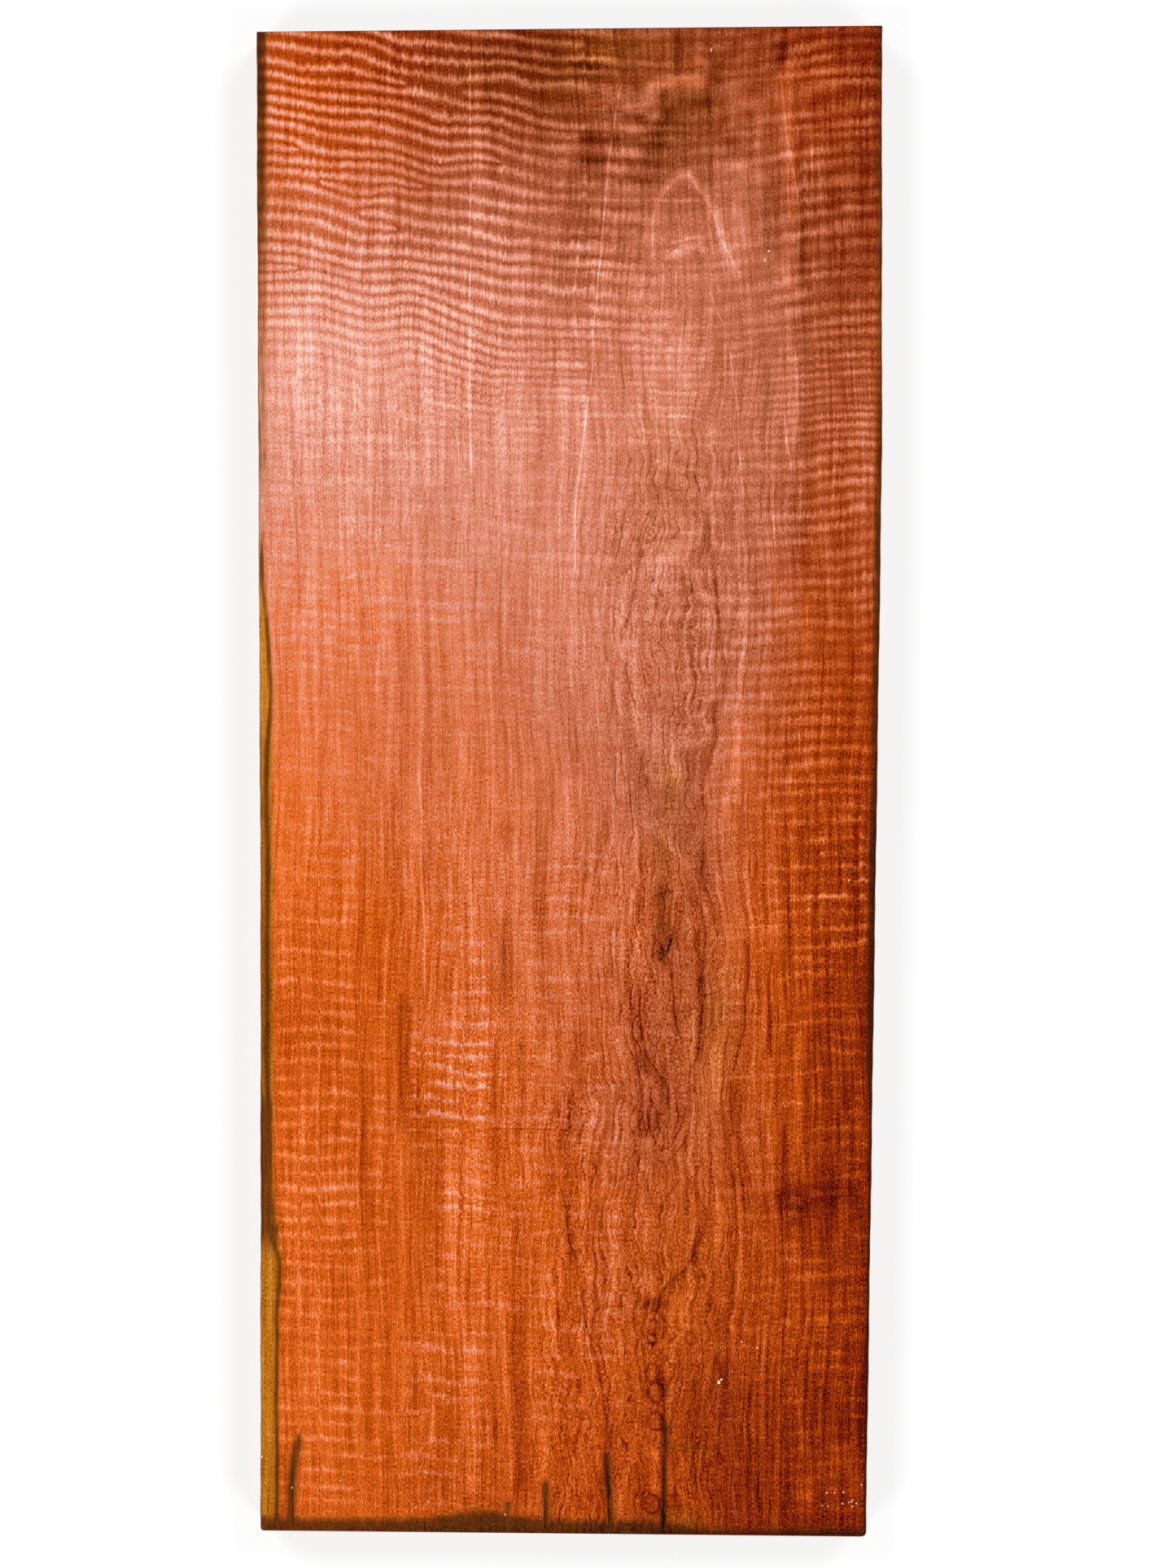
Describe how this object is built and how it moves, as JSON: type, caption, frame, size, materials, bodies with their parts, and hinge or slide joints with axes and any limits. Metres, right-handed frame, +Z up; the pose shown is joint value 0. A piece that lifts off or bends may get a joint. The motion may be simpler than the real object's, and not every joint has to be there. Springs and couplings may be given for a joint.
{
  "type": "massaranduba wood slab",
  "caption": "Flat rectangular slab of red-brown curly-figured hardwood, with sawn long edges that taper slightly and crosscut ends.",
  "frame": {"origin": "centre of the slab's box, on its underside", "axes": "+Z up out of the show face; +Y along the grain to the head end, the wider one; +X across the slab to its darker long edge"},
  "size_m": [0.762, 1.8379, 0.05],
  "materials": {
    "massaranduba": "planed, red-orange heartwood with salmon curl, satin"
  },
  "bodies": {
    "root": {"slab": "massaranduba"}
  },
  "joints": []
}
